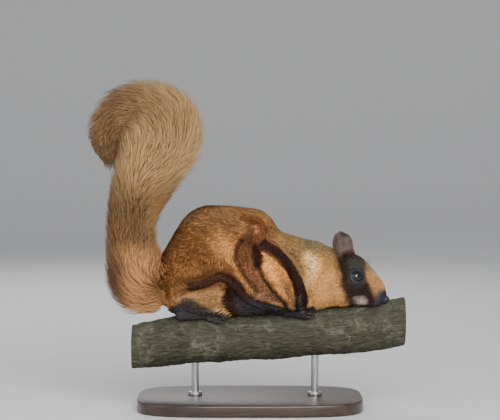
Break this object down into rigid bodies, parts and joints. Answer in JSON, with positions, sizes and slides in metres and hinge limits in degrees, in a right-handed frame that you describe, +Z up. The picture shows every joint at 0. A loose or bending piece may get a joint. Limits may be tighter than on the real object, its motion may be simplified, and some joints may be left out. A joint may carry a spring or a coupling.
{
  "type": "flying squirrel figure",
  "caption": "Life-size flying squirrel crouched with folded gliding membranes and a raised bushy tail on a cut branch, held by a plain display stand.",
  "frame": {"origin": "centre of the stand base's flat underside, on the floor", "axes": "+Z up, +X the way the animal faces along the branch, -Y the animal's right side"},
  "size_m": [0.3954, 0.1816, 0.4009],
  "materials": {
    "orange_fur": "short dense orange-brown fur",
    "tail_fur": "long loose tan-brown fur, dark at the tip",
    "dark_fur": "very short blackish fur over bare pads",
    "ear_skin": "thin grey-brown skin with a fine down",
    "eye": "wet gloss black-brown",
    "bark": "rough grey-brown bark",
    "dark_wood": "dark stained, satin",
    "steel": "satin steel rod"
  },
  "bodies": {
    "root": {"head": "orange_fur", "neck": "orange_fur", "torso": "orange_fur", "ear_right": "ear_skin", "ear_left": "ear_skin", "eye_right": "eye", "eye_left": "eye", "foreleg_right": "orange_fur", "foreleg_left": "orange_fur", "forefoot_right": "dark_fur", "forefoot_left": "dark_fur", "hindleg_right": "orange_fur", "hindleg_left": "orange_fur", "hindfoot_right": "dark_fur", "hindfoot_left": "dark_fur", "flank_membrane_right": "orange_fur", "flank_membrane_left": "orange_fur", "arm_membrane_right": "orange_fur", "arm_membrane_left": "orange_fur", "tail_base": "tail_fur", "tail_middle": "tail_fur", "tail_tip": "tail_fur", "perch": "bark", "stand_base": "dark_wood", "stand_rod_front": "steel", "stand_rod_rear": "steel"}
  },
  "joints": []
}
